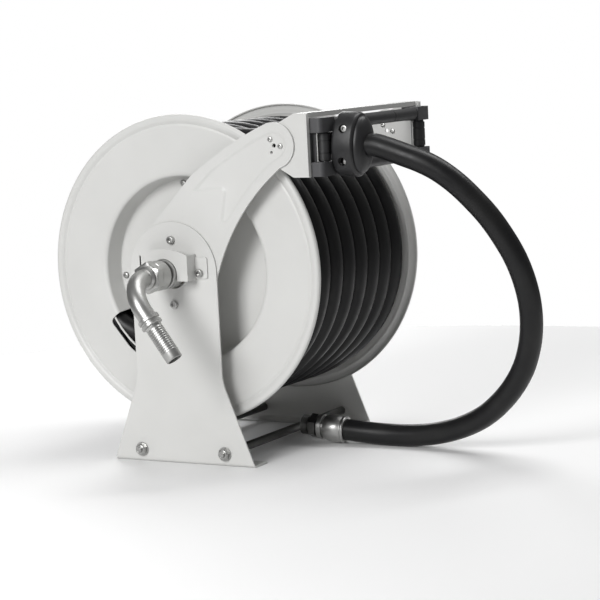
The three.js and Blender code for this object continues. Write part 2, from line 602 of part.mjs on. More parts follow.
// Ferrule and threaded end fitting, in line with the end of the hose.
const fitting = new THREE.Group();
const fittingStart = new THREE.Vector3(...freeRoute.at(-1));
const fittingEnd = new THREE.Vector3(9, -100, 31);
fitting.position.copy(fittingStart);
const fittingAim = fittingEnd.clone().sub(fittingStart).normalize();
fitting.quaternion.setFromUnitVectors(new THREE.Vector3(1, 0, 0), fittingAim);
reel.add(fitting);
piece('hose_ferrule', ring([
  [0.4, 14.5], [0.4, 21], [2, 22.5], [29, 23], [39, 20.5], [39, 14.5],
], 24), ZINC, fitting);
piece('end_fitting', cut(
  join(
    spindle([
      [2, 13.8], [41.5, 13.8], [41.5, 20.5], [49.5, 20.5], [49.5, 15], [66, 15], [66, 16.5], [80, 16.5],
    ], 24),
    rodX(51.5, 65, 36 / Math.sqrt(3), 0, 0, 6),
  ),
  rodX(56, 100, 11, 0, 0, 16),
), ZINC, fitting);

// ---------------------------------------------------------------- origin

const freePieces = ['hose_free', 'hose_ferrule', 'end_fitting'];
reel.updateMatrixWorld(true);
const footprint = new THREE.Box3();
reel.traverse((node) => {
  if (node.isMesh && !freePieces.includes(node.name)) footprint.expandByObject(node, true);
});
const middle = footprint.getCenter(new THREE.Vector3());
reel.position.set(-middle.x, -middle.y, 0);

export default reel;
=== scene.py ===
# Spring-rewind fire hose reel: the visual model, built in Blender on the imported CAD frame.
# Shapes are drawn in millimetres about the drum: X along its axis, Y to the rear, Z up from the axis.

import json
import math

import bpy
import bmesh
from mathutils import Matrix, Vector


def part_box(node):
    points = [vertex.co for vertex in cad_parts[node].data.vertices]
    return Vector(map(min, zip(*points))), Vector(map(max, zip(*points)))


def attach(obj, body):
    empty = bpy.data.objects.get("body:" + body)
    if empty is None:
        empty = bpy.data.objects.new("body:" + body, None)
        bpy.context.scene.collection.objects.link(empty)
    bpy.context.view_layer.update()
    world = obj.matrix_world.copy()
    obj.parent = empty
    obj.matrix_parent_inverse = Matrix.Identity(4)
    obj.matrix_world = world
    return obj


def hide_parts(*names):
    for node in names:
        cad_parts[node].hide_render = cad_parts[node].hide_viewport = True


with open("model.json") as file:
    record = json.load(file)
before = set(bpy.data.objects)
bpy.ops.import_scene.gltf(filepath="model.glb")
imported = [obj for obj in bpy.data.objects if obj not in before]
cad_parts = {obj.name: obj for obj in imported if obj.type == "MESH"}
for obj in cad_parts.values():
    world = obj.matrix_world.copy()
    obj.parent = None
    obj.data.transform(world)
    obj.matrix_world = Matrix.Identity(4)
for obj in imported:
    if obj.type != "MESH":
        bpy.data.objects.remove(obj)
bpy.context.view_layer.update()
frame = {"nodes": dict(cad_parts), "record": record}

# ---------------------------------------------------------------- driving sizes, in millimetres

MM = 0.001
HUB = sum(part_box("barrel"), Vector()) / 2
AXLE_HEIGHT = HUB.z / MM
DRUM = "drum"
ROOT = "frame"


def drum_box(node):
    """Lowest and highest corner of a CAD node, in millimetres from the drum's middle."""
    low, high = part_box(node)
    return (low - HUB) / MM, (high - HUB) / MM


FLANGE_R = drum_box("flange_left")[1].z
FLANGE_X = -drum_box("flange_left")[0].x
BARREL_R = drum_box("barrel")[1].z
HOSE_R = 18
LAST_TURN_X = -148.5
LAYER_1_R = BARREL_R + HOSE_R
LAYER_2_R = 212
LAST_TURN_R = 212
LANE_END = 149.5
LAYER_1_PITCH = LANE_END / 4
LAYER_2_PITCH = 42.3
LAYER_2_END = LANE_END - 6 * LAYER_2_PITCH
RECESS_X = 135.6

STAND_LEFT = drum_box("stand_left")[0].x
STAND_RIGHT = drum_box("stand_right")[1].x
STAND_BASE = drum_box("stand_left")[1].y
STAND_WAIST = 81
WAIST_Z = 136 - AXLE_HEIGHT
FOOT = 41
PLATE = 3
HUB_SCREWS_R = 52
TIE_Y = 79
TIE_Z = 20 - AXLE_HEIGHT

ARM_HUB_R = 79
ARM_END = Vector((-195, 198))
ARM_END_R = 36
ARM_LEFT = drum_box("arm_left")
ARM_RIGHT = drum_box("arm_right")

GUIDE = drum_box("guide_bracket")
ROLLER_Y = -268
LEAD_SLOPE = 0.0633
STOP_Y = (-281, -318)
STOP_HALF = (35, 50)
STOP_EDGE = 5.5
STOP_DOME = 15.6
STOP_SCREW = Vector((-31.5, 25))
STOP_SCREW_FLOOR = 20

TAIL_TILT = math.radians(36)
ELBOW_BEND = 55


# ---------------------------------------------------------------- materials

def material(name, color, roughness, metallic=0.0, **sockets):
    made = bpy.data.materials.new(name)
    made.use_nodes = True
    shader = made.node_tree.nodes["Principled BSDF"]
    shader.inputs["Base Color"].default_value = (*color, 1)
    shader.inputs["Roughness"].default_value = roughness
    shader.inputs["Metallic"].default_value = metallic
    for socket, value in sockets.items():
        shader.inputs[socket.replace("_", " ")].default_value = value
    made.diffuse_color = (*color, 1)
    return made, made.node_tree, shader


def noise(tree, scale, detail=3.0, stretch=(1, 1, 1)):
    """A noise pattern fixed to the object, with features about 1/scale metres across."""
    place = tree.nodes.new("ShaderNodeTexCoord")
    mapping = tree.nodes.new("ShaderNodeMapping")
    mapping.inputs["Scale"].default_value = stretch
    pattern = tree.nodes.new("ShaderNodeTexNoise")
    pattern.inputs["Scale"].default_value = scale
    pattern.inputs["Detail"].default_value = detail
    tree.links.new(place.outputs["Object"], mapping.inputs["Vector"])
    tree.links.new(mapping.outputs["Vector"], pattern.inputs["Vector"])
    return pattern


def vary_color(tree, shader, pattern, low, high):
    ramp = tree.nodes.new("ShaderNodeValToRGB")
    ramp.color_ramp.elements[0].position = 0.3
    ramp.color_ramp.elements[1].position = 0.7
    ramp.color_ramp.elements[0].color = (*low, 1)
    ramp.color_ramp.elements[1].color = (*high, 1)
    tree.links.new(pattern.outputs["Fac"], ramp.inputs["Fac"])
    tree.links.new(ramp.outputs["Color"], shader.inputs["Base Color"])


def vary_roughness(tree, shader, pattern, low, high):
    spread = tree.nodes.new("ShaderNodeMapRange")
    spread.inputs["From Min"].default_value = 0.3
    spread.inputs["From Max"].default_value = 0.7
    spread.inputs["To Min"].default_value = low
    spread.inputs["To Max"].default_value = high
    tree.links.new(pattern.outputs["Fac"], spread.inputs["Value"])
    tree.links.new(spread.outputs["Result"], shader.inputs["Roughness"])


def add_bump(tree, shader, pattern, strength, distance):
    bump = tree.nodes.new("ShaderNodeBump")
    bump.inputs["Strength"].default_value = strength
    bump.inputs["Distance"].default_value = distance
    tree.links.new(pattern.outputs["Fac"], bump.inputs["Height"])
    tree.links.new(bump.outputs["Normal"], shader.inputs["Normal"])


def powder_coat():
    made, tree, shader = material("powder_coat", (0.62, 0.62, 0.60), 0.42, Coat_Weight=0.12,
                                  Coat_Roughness=0.25)
    vary_color(tree, shader, noise(tree, 7, 4), (0.60, 0.60, 0.585), (0.64, 0.64, 0.625))
    vary_roughness(tree, shader, noise(tree, 30, 4), 0.38, 0.48)
    add_bump(tree, shader, noise(tree, 650, 2), 0.10, 0.0004)
    return made


def hose_rubber():
    made, tree, shader = material("hose_rubber", (0.009, 0.009, 0.010), 0.38, Specular_IOR_Level=0.28)
    vary_color(tree, shader, noise(tree, 18, 4), (0.007, 0.007, 0.008), (0.013, 0.013, 0.013))
    vary_roughness(tree, shader, noise(tree, 60, 5), 0.33, 0.46)
    add_bump(tree, shader, noise(tree, 900, 3), 0.12, 0.0003)
    return made


def moulded_plastic(name, color, roughness):
    made, tree, shader = material(name, color, roughness)
    low = tuple(0.85 * c for c in color)
    high = tuple(1.15 * c for c in color)
    vary_color(tree, shader, noise(tree, 25, 4), low, high)
    vary_roughness(tree, shader, noise(tree, 80, 4), roughness - 0.06, roughness + 0.06)
    add_bump(tree, shader, noise(tree, 1200, 2), 0.15, 0.0003)
    return made


def bare_metal(name, color, roughness, scale=120, stretch=(1, 1, 1), bump=0.06):
    made, tree, shader = material(name, color, roughness, 1.0)
    low = tuple(0.88 * c for c in color)
    high = tuple(min(1, 1.08 * c) for c in color)
    vary_color(tree, shader, noise(tree, 22, 5), low, high)
    vary_roughness(tree, shader, noise(tree, scale, 5, stretch), roughness - 0.06, roughness + 0.09)
    add_bump(tree, shader, noise(tree, scale * 6, 3, stretch), bump, 0.0002)
    return made


PAINT = powder_coat()
RUBBER = hose_rubber()
BLACK = moulded_plastic("black_plastic", (0.014, 0.014, 0.015), 0.42)
ROLLER_BLACK = moulded_plastic("roller_plastic", (0.020, 0.020, 0.021), 0.48)
GREY = moulded_plastic("grey_plastic", (0.055, 0.055, 0.058), 0.52)
ZINC = bare_metal("zinc_plate", (0.46, 0.46, 0.45), 0.36)
CHROME = bare_metal("bright_zinc", (0.46, 0.46, 0.45), 0.38, 40, bump=0.01)
DARK_STEEL = bare_metal("dark_steel", (0.16, 0.16, 0.155), 0.38)
SPRING_STEEL = bare_metal("spring_steel", (0.16, 0.19, 0.23), 0.32)
BRONZE = bare_metal("bronze", (0.50, 0.33, 0.15), 0.38)
SEAL = moulded_plastic("seal_rubber", (0.010, 0.010, 0.010), 0.6)


# ---------------------------------------------------------------- mesh helpers

TO_AXLE = Matrix.Identity(4)


def along(direction, at=(0, 0, 0)):
    """Turns shapes drawn about X so that X points in the direction, and moves them to the place."""
    turn = Vector((1, 0, 0)).rotation_difference(Vector(direction))
    return Matrix.Translation(Vector(at)) @ turn.to_matrix().to_4x4()


def piece(name, mesh, body, look, stands_for=(), sharp=32, bevel=0, matrix=TO_AXLE):
    """Makes a bmesh drawn in drum millimetres into a piece that rides on a body."""
    bmesh.ops.transform(mesh, matrix=matrix, verts=mesh.verts)
    bmesh.ops.transform(mesh, matrix=Matrix.Translation(HUB) @ Matrix.Scale(MM, 4), verts=mesh.verts)
    bmesh.ops.recalc_face_normals(mesh, faces=mesh.faces)
    data = bpy.data.meshes.new(name)
    mesh.to_mesh(data)
    mesh.free()
    data.materials.append(look)
    data.shade_smooth()
    data.set_sharp_from_angle(angle=math.radians(sharp))
    made = bpy.data.objects.new(name, data)
    bpy.context.scene.collection.objects.link(made)
    if bevel:
        edge = made.modifiers.new("edges", "BEVEL")
        edge.width = bevel * MM
        edge.segments = 2
        edge.limit_method = "ANGLE"
        edge.angle_limit = math.radians(sharp)
        edge.harden_normals = True
    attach(made, body)
    if stands_for:
        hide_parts(*stands_for)
    return made


def arc(centre, radius, start, end, steps):
    """Points of an arc, from one angle to another in degrees."""
    angles = [math.radians(start + (end - start) * i / steps) for i in range(steps + 1)]
    return [Vector((centre[0] + radius * math.cos(a), centre[1] + radius * math.sin(a))) for a in angles]


def circle(centre, radius, sides=24):
    return arc(centre, radius, 0, 360, sides)[:-1]


def rounded(corners, radius, steps=4, closed=False):
    """The same line with its corners rounded."""
    points = [Vector(p) for p in corners]
    count = len(points)
    line = []
    for i, corner in enumerate(points):
        if not closed and i in (0, count - 1):
            line.append(corner)
            continue
        before = points[i - 1]
        after = points[(i + 1) % count]
        reach = min(radius, (corner - before).length * 0.45, (after - corner).length * 0.45)
        start = corner + (before - corner).normalized() * reach
        end = corner + (after - corner).normalized() * reach
        for step in range(steps + 1):
            t = step / steps
            line.append(start * (1 - t) ** 2 + corner * 2 * t * (1 - t) + end * t ** 2)
    return line


def bezier(start, control, end, steps):
    ts = [i / steps for i in range(steps + 1)]
    start, control, end = Vector(start), Vector(control), Vector(end)
    return [start * (1 - t) ** 2 + control * 2 * t * (1 - t) + end * t ** 2 for t in ts]


def filled(mesh, loops, x):
    """A flat face across the axis, from its outline and holes. Returns the rings."""
    rings = [[mesh.verts.new((x, p[0], p[1])) for p in loop] for loop in loops]
    edges = [mesh.edges.new((ring[i - 1], ring[i])) for ring in rings for i in range(len(ring))]
    bmesh.ops.triangle_fill(mesh, use_beauty=True, use_dissolve=False, edges=edges, normal=(1, 0, 0))
    return rings


def wall(mesh, ring, other):
    """A band of faces between two rings with the same number of points."""
    for i in range(len(ring)):
        mesh.faces.new([ring[i - 1], ring[i], other[i], other[i - 1]])


def plate(outline, x0, x1, holes=()):
    """A plate across the axis, its outline and holes drawn in (Y, Z)."""
    mesh = bmesh.new()
    for ring, other in zip(filled(mesh, [outline, *holes], x0), filled(mesh, [outline, *holes], x1)):
        wall(mesh, ring, other)
    return mesh


def turned(profile, sides=48, loop=False):
    """A shape turned about X from (x, radius) corners. One marked 'hex' follows a hexagon."""
    mesh = bmesh.new()
    rings = []
    for corner in profile:
        x, radius = corner[0], corner[1]
        ring = []
        for i in range(sides):
            angle = 2 * math.pi * i / sides
            reach = radius
            if len(corner) > 2:
                reach = radius / math.cos((angle + math.pi / 6) % (math.pi / 3) - math.pi / 6)
            ring.append(mesh.verts.new((x, reach * math.cos(angle), reach * math.sin(angle))))
        rings.append(ring)
    pairs = list(zip(rings, rings[1:]))
    if loop:
        pairs.append((rings[-1], rings[0]))
    for ring, after in pairs:
        for i in range(sides):
            j = (i + 1) % sides
            mesh.faces.new([ring[i], ring[j], after[j], after[i]])
    if not loop:
        mesh.faces.new(rings[0])
        mesh.faces.new(rings[-1])
    return mesh


def block(x0, x1, y0, y1, z0, z1):
    mesh = bmesh.new()
    bmesh.ops.create_cube(mesh, size=1)
    size = Matrix.Diagonal((x1 - x0, y1 - y0, z1 - z0, 1))
    middle = Matrix.Translation(((x0 + x1) / 2, (y0 + y1) / 2, (z0 + z1) / 2))
    bmesh.ops.transform(mesh, matrix=middle @ size, verts=mesh.verts)
    return mesh


def merged(*meshes):
    """Several bmeshes as one, each still its own closed shape."""
    whole = bmesh.new()
    for mesh in meshes:
        data = bpy.data.meshes.new("part")
        mesh.to_mesh(data)
        mesh.free()
        whole.from_mesh(data)
        bpy.data.meshes.remove(data)
    return whole


def moved(mesh, matrix):
    bmesh.ops.transform(mesh, matrix=matrix, verts=mesh.verts)
    return mesh


def combined(base, tool, operation):
    """Boolean of two bmeshes."""
    objects = []
    for mesh in (base, tool):
        data = bpy.data.meshes.new("operand")
        bmesh.ops.recalc_face_normals(mesh, faces=mesh.faces)
        mesh.to_mesh(data)
        mesh.free()
        made = bpy.data.objects.new("operand", data)
        bpy.context.scene.collection.objects.link(made)
        objects.append(made)
    step = objects[0].modifiers.new("boolean", "BOOLEAN")
    step.operation = operation
    step.solver = "EXACT"
    step.object = objects[1]
    bpy.context.view_layer.update()
    evaluated = objects[0].evaluated_get(bpy.context.evaluated_depsgraph_get())
    result = bmesh.new()
    result.from_mesh(evaluated.to_mesh())
    evaluated.to_mesh_clear()
    for made in objects:
        data = made.data
        bpy.data.objects.remove(made)
        bpy.data.meshes.remove(data)
    return result


def spline(points, steps):
    """A smooth centripetal curve through the points, with so many steps between each two."""
    p = [Vector(q) for q in points]
    p = [2 * p[0] - p[1], *p, 2 * p[-1] - p[-2]]
    line = []
    for a, b, c, d in zip(p, p[1:], p[2:], p[3:]):
        t1 = math.sqrt((b - a).length)
        t2 = t1 + math.sqrt((c - b).length)
        t3 = t2 + math.sqrt((d - c).length)
        for i in range(steps):
            t = t1 + (t2 - t1) * i / steps
            ab = a + (b - a) * (t / t1)
            bc = b + (c - b) * ((t - t1) / (t2 - t1))
            cd = c + (d - c) * ((t - t2) / (t3 - t2))
            abc = ab + (bc - ab) * (t / t2)
            bcd = bc + (cd - bc) * ((t - t1) / (t3 - t1))
            line.append(abc + (bcd - abc) * ((t - t1) / (t2 - t1)))
    line.append(p[-2])
    return line


def skinned(rings):
    """A closed shape through rings of points that all have the same count."""
    mesh = bmesh.new()
    rings = [[mesh.verts.new(point) for point in ring] for ring in rings]
    count = len(rings[0])
    for ring, after in zip(rings, rings[1:]):
        for i in range(count):
            j = (i + 1) % count
            mesh.faces.new([ring[i], ring[j], after[j], after[i]])
    mesh.faces.new(rings[0])
    mesh.faces.new(rings[-1])
    return mesh


def swept(line, radius, sides=24):
    """A round bar along a line of points; radius is a number, or a function of the distance along it."""
    tangents = []
    for i in range(len(line)):
        after = line[min(i + 1, len(line) - 1)]
        before = line[max(i - 1, 0)]
        tangents.append((after - before).normalized())
    side = tangents[0].orthogonal().normalized()
    rings = []
    distance = 0
    for i, point in enumerate(line):
        if i:
            turn = tangents[i - 1].rotation_difference(tangents[i])
            side = (turn @ side).normalized()
            distance += (point - line[i - 1]).length
        other = tangents[i].cross(side)
        reach = radius(distance) if callable(radius) else radius
        turns = [2 * math.pi * k / sides for k in range(sides)]
        rings.append([point + reach * (math.cos(a) * side + math.sin(a) * other) for a in turns])
    return skinned(rings)


# ---------------------------------------------------------------- camera

CAMERA_LENS = 122.29


def make_camera():
    yaw, pitch, roll = math.radians(-60.080), math.radians(7.117), math.radians(-2.884)
    back = Vector((math.sin(yaw) * math.cos(pitch), -math.cos(yaw) * math.cos(pitch), math.sin(pitch)))
    level = (-back).cross(Vector((0, 0, 1))).normalized()
    upright = level.cross(-back)
    right = math.cos(roll) * level + math.sin(roll) * upright
    up = -math.sin(roll) * level + math.cos(roll) * upright
    place = Vector((-2905.8, -1786.2, 660.0 - AXLE_HEIGHT)) * MM + HUB
    camera = bpy.data.objects.new("camera", bpy.data.cameras.new("camera"))
    camera.data.lens = CAMERA_LENS
    camera.data.sensor_width = 36
    camera.data.clip_end = 60
    camera.matrix_world = Matrix.Translation(place) @ Matrix((right, up, back)).transposed().to_4x4()
    bpy.context.scene.collection.objects.link(camera)
    bpy.context.scene.camera = camera


make_camera()


# ---------------------------------------------------------------- free hose and its fitting

# The route out of the stop, round in a loop to the floor and back, in metres from the drum's middle
# and the floor.
FREE_ROUTE = [
    (-0.1400, -0.3326, 0.5034), (-0.1400, -0.3420, 0.5028), (-0.1392, -0.3620, 0.4968),
    (-0.1375, -0.3860, 0.4880), (-0.1345, -0.4120, 0.4780), (-0.1290, -0.4380, 0.4640),
    (-0.1210, -0.4660, 0.4415), (-0.1110, -0.4910, 0.4135), (-0.1015, -0.5090, 0.3885),
    (-0.0900, -0.5245, 0.3590), (-0.0780, -0.5375, 0.3270), (-0.0655, -0.5455, 0.2925),
    (-0.0525, -0.5485, 0.2545), (-0.0400, -0.5450, 0.2160), (-0.0290, -0.5360, 0.1815),
    (-0.0185, -0.5205, 0.1460), (-0.0090, -0.4985, 0.1140), (-0.0010, -0.4725, 0.0865),
    (0.0060, -0.4415, 0.0620), (0.0120, -0.4065, 0.0435), (0.0165, -0.3695, 0.0305),
    (0.0190, -0.3320, 0.0225), (0.0200, -0.2950, 0.0188), (0.0200, -0.2580, 0.0183),
    (0.0169, -0.2220, 0.0202), (0.0144, -0.1835, 0.0236),
]
FITTING_END = (9, -100, 31)


def free_hose():
    route = [Vector((x, y, z - HUB.z)) / MM for x, y, z in FREE_ROUTE]
    line = spline(route, 6)
    hose = piece("hose_free_visual", swept(line, HOSE_R, 32), ROOT, RUBBER, ["hose_free"])
    ferrule, end = end_fitting(route[-1])


def end_fitting(start):
    aim = Vector(FITTING_END) - Vector((0, 0, AXLE_HEIGHT)) - start
    place = along(aim, start)
    shell = turned([
        (0.6, 18.3), (0.4, 20.2), (0.9, 21.2), (2.2, 22.2), (4.4, 22.5), (5.2, 22.0), (7.6, 22.0),
        (8.4, 22.6), (22, 23),
        (29, 22.7), (34, 21.5), (38, 20.3), (39, 19.2), (39, 17),
    ], 64)
    ferrule = piece("hose_ferrule_visual", shell, ROOT, ZINC, ["hose_ferrule"], matrix=place,
                    sharp=40)
    ring = turned([
        (39.6, 14), (39.6, 16.4), (41, 16.6), (41.5, 19.6), (42.3, 20.5), (48.6, 20.5), (49.4, 19.6),
        (49.5, 14),
    ], 64, loop=True)
    body = turned([
        (49.9, 14.5), (51.3, 14.6), (51.5, 16.6), (52.6, 18, "hex"), (63.8, 18, "hex"), (65, 16.8),
        (65, 14.6), (67.4, 14.4),
        *[(68 + 0.9 * i, 16.5 if i % 2 else 15.5) for i in range(13)],
        (79.6, 16.2), (80, 15.4), (80, 11.8), (79, 11), (56, 11),
    ], 72)
    end = piece("end_fitting_visual", body, ROOT, DARK_STEEL, ["end_fitting"], matrix=place,
                sharp=25)
    piece("end_fitting_ring", ring, ROOT, ZINC, matrix=place, sharp=30)
    return ferrule, end


free_hose()


# ---------------------------------------------------------------- drum

def dished_flange(direction, hole):
    """Pressed sheet: recess, flat face, groove and rolled rim, as a closed loop 2 mm thick."""
    outer = rounded([
        (RECESS_X, hole), (RECESS_X, 145.5), (168, 151), (170.8, 156.5), (170.8, 231.5), (169.6, 234.5),
        (172.4, 238),
        (FLANGE_X, 241.5), (FLANGE_X, 247), (171.2, FLANGE_R), (167.4, FLANGE_R),
    ], 3.2, 4)
    inner = []
    for i, point in enumerate(outer):
        before = outer[max(i - 1, 0)]
        after = outer[min(i + 1, len(outer) - 1)]
        tangent = (after - before).normalized()
        inner.append(point + Vector((-tangent.y, tangent.x)) * 1.8)
    loop = outer + inner[::-1]
    return turned([(direction * x, r) for x, r in loop], 144, loop=True)


def window_cutter():
    """Opening for the feed hose: an arc inside, a straight chord outside, and round corners."""
    middle, half = -49.5, 22.5
    inner = arc((0, 0), 136, middle - half, middle + half, 8)
    outer = [Vector((173 * math.cos(math.radians(a)), 173 * math.sin(math.radians(a))))
             for a in (middle + half - 3, middle, middle - half + 3)]
    return plate(rounded(inner + outer, 9, 5, closed=True), -182, -131)


def drum_pieces():
    left = combined(dished_flange(-1, 18), window_cutter(), "DIFFERENCE")
    piece("flange_left_visual", left, DRUM, PAINT, ["flange_left"])
    piece("flange_right_visual", dished_flange(1, 22), DRUM, PAINT, ["flange_right"])
    heads = []
    for direction in (-1, 1):
        for angle in (-6, 84, 174, 264):
            a = math.radians(angle)
            head = turned([(0, 5.6), (0.8, 5.8), (2.2, 5.0), (3.0, 3.6), (3.2, 2.4), (3.2, 2.2, "hex"),
                           (1.4, 2.2, "hex")], 24)
            place = along((direction, 0, 0), (direction * RECESS_X, 138 * math.cos(a), 138 * math.sin(a)))
            heads.append(moved(head, place))
    piece("flange_screws", merged(*heads), DRUM, ZINC)


def eased(t):
    """0 before t = 0, 1 after t = 1, and a smooth step between."""
    t = min(1, max(0, t))
    return 3 * t ** 2 - 2 * t ** 3


def wound_line():
    """Line of the wound hose: nine lanes out, a climb at the far flange, and seven lanes back."""
    moves = [LAYER_1_PITCH] * 8 + [0] + [-LAYER_2_PITCH] * 6 + [LAST_TURN_X - LAYER_2_END]
    line = []
    angle = 0
    while angle < 360 * len(moves) - 80:
        x = -LANE_END + sum(move * eased((angle - 205 - 360 * i) / 60) for i, move in enumerate(moves))
        climb = eased((angle - 205 - 360 * 8) / 90)
        radius = LAYER_1_R + (LAYER_2_R - LAYER_1_R) * climb
        a = math.radians(angle)
        line.append(Vector((x, radius * math.cos(a), radius * math.sin(a))))
        angle += 4
    return line


def wound_hose():
    """The wound hose, fed from inside the barrel through the window in the near flange."""
    feed = [(-105, 35, -136), (-111, 51, -135)]
    for x, r, angle in ((-118, 146, -62), (-133, 151, -52), (-146, 160, -42), (-149.5, 172, -31),
                        (-149.5, 181, -18)):
        feed.append((x, r * math.cos(math.radians(angle)), r * math.sin(math.radians(angle))))
    line = wound_line()
    entry = spline([*feed, line[0], line[2]], 8)[:-8]
    piece("wound_hose", swept(entry + line, HOSE_R, 20), DRUM, RUBBER, ["hose_pack"])


drum_pieces()
wound_hose()


# ---------------------------------------------------------------- static last turn and lead

def lead_point(x, y):
    return Vector((x, y, LAST_TURN_R + 0.6 + LEAD_SLOPE * (y + 13)))


def last_turn():
    ring = [Vector((LAST_TURN_X, LAST_TURN_R * math.cos(a), LAST_TURN_R * math.sin(a)))
            for a in (2 * math.pi * i / 120 for i in range(121))]
    places = (
        (-148.5, -2), (-148.5, -80), (-148.5, -150), (-144.5, -205), (-140.5, -255),
        (-140, -290), (-140, -332),
    )
    lead = spline([lead_point(*place) for place in places], 10)
    both = merged(swept(ring, HOSE_R, 28), swept(lead, HOSE_R, 32))
    piece("hose_last_turn_visual", both, ROOT, RUBBER, ["hose_last_turn"])


last_turn()


# ---------------------------------------------------------------- stands and tie bars

def stand(side):
    """Sheet bent inwards at the foot, with rounded corners."""
    outer = STAND_LEFT if side < 0 else STAND_RIGHT
    inward = 1 if side < 0 else -1
    bend = 6
    slope = (STAND_BASE - STAND_WAIST) / (WAIST_Z + AXLE_HEIGHT)

    def half(z):
        return STAND_BASE - slope * (z + AXLE_HEIGHT)

    floor = -AXLE_HEIGHT
    bottom = floor + bend
    outline = [
        Vector((-half(bottom), bottom)), Vector((half(bottom), bottom)),
        *rounded([(half(bottom), bottom), (STAND_WAIST, WAIST_Z), (STAND_WAIST, 0)], 14, 5)[1:-1],
        *arc((0, 0), STAND_WAIST, 0, 180, 48),
        *rounded([(-STAND_WAIST, 0), (-STAND_WAIST, WAIST_Z), (-half(bottom), bottom)], 14, 5)[1:-1],
    ]
    holes = [circle((0, 0), 26, 48)]
    holes += [circle(arc((0, 0), HUB_SCREWS_R, a, a, 1)[0], 4.3, 20) for a in (0, 90, 180, 270)]
    holes += [circle((y, TIE_Z), 5.5, 20) for y in (-TIE_Y, TIE_Y)]
    mesh = plate(outline, outer, outer + inward * PLATE, holes)
    section = [(0, bottom)]
    for i in range(1, 7):
        a = math.radians(15 * i)
        section.append((bend * (1 - math.cos(a)), floor + bend * (1 - math.sin(a))))
    section += [(FOOT - 2, floor), (FOOT, floor)]
    inside = [(FOOT, floor + PLATE), (FOOT - 2, floor + PLATE)]
    for i in range(6, 0, -1):
        a = math.radians(15 * i)
        inside.append((bend - (bend - PLATE) * math.cos(a), floor + bend - (bend - PLATE) * math.sin(a)))
    inside.append((PLATE, bottom))
    loop = section + inside
    foot = bmesh.new()
    ends = []
    for y_side in (-1, 1):
        corners = [(outer + inward * x, y_side * (half(z) - (2 if x >= FOOT else 0)), z) for x, z in loop]
        ends.append([foot.verts.new(corner) for corner in corners])
    count = len(loop)
    for i in range(count):
        j = (i + 1) % count
        foot.faces.new([ends[0][i], ends[0][j], ends[1][j], ends[1][i]])
    foot.faces.new(ends[0])
    foot.faces.new(ends[1])
    return combined(mesh, foot, "UNION")


def hex_bolt(flats, height, washer):
    """Hexagon head with washer, seated on x = 0 and pointing towards -X."""
    head = turned([
        (-2.2, 0.7 * flats / 2), (-2.2, flats / 2, "hex"), (-height + 0.8, flats / 2, "hex"),
        (-height - 1, 0.92 * flats / 2), (-height - 1.6, 0.80 * flats / 2), (-height - 1.6, 3.5),
        (-height - 1.4, 1),
    ], 48)
    ring = turned([(-0.3, 4.5), (-0.3, washer - 0.2), (-0.6, washer), (-1.9, washer), (-2.2, washer - 0.4),
                   (-2.2, 4.5)], 40)
    tip = turned([(-height - 4, 3.6), (-height - 4.6, 4.4), (-height - 1, 4.4)], 24)
    return merged(head, ring, tip)


def bars_and_bolts():
    for place, y in (("front", -TIE_Y), ("rear", TIE_Y)):
        bar_box = drum_box(f"tie_bar_{place}")
        radius = (bar_box[1].z - bar_box[0].z) / 2
        x0, x1 = bar_box[0].x, bar_box[1].x
        bar = turned([(x0, radius - 1), (x0 + 1, radius), (x1 - 1, radius), (x1, radius - 1)], 32)
        piece(f"tie_bar_{place}_visual", bar, ROOT, DARK_STEEL, [f"tie_bar_{place}"],
              matrix=Matrix.Translation((0, y, TIE_Z)))
        for side, x, direction in (("left", STAND_LEFT, 1), ("right", STAND_RIGHT, -1)):
            turn = Matrix.Rotation(0.35 if y < 0 else 0.1, 4, "X")
            matrix = along((direction, 0, 0), (x, y, TIE_Z)) @ turn
            piece(f"tie_bolt_{place}_{side}_visual", hex_bolt(17, 7.5, 11.5), ROOT, ZINC,
                  [f"tie_bolt_{place}_{side}"], matrix=matrix, sharp=25)


for side_name, side_sign in (("left", -1), ("right", 1)):
    piece(f"stand_{side_name}_visual", stand(side_sign), ROOT, PAINT, [f"stand_{side_name}"],
          bevel=0.6)
bars_and_bolts()


# ---------------------------------------------------------------- arms

UPPER_EDGE = bezier((-41, 153), (-125, 211), (-186, 233), 16)
LOWER_EDGE = bezier((-205, 163.5), (-110.5, 94.2), (-76.5, -19.6), 22)


def inset(line, distance, closed=False):
    """The line moved sideways, to the left of the way it runs."""
    count = len(line)
    moved_line = []
    for i, point in enumerate(line):
        before = line[i - 1] if closed else line[max(i - 1, 0)]
        after = line[(i + 1) % count] if closed else line[min(i + 1, count - 1)]
        tangent = (after - before).normalized()
        moved_line.append(point + Vector((-tangent.y, tangent.x)) * distance)
    return moved_line


def arm_outline():
    return [*arc((0, 0), ARM_HUB_R, 196, 405, 50), *UPPER_EDGE, *arc(ARM_END, ARM_END_R, 78, 252, 36),
            *LOWER_EDGE[:-1]]


def arm_panel():
    """Edge of the pressed panel: along the rim, round the end and back to a step beside the hub."""
    border = 13
    lower = [point for point in inset(LOWER_EDGE, border) if point.y > 86]
    return [
        *rounded([Vector((-91, 80)), Vector((-101, 131)), Vector((-39, 127)), inset(UPPER_EDGE, border)[3]],
                 7, 5)[1:],
        *inset(UPPER_EDGE, border)[4:-1],
        *arc(ARM_END, ARM_END_R - border, 78, 252, 30),
        *lower[1:],
        *rounded([lower[-1], Vector((-104, 78)), Vector((-91, 77)), Vector((-93, 90))], 6, 5)[1:-1],
    ]


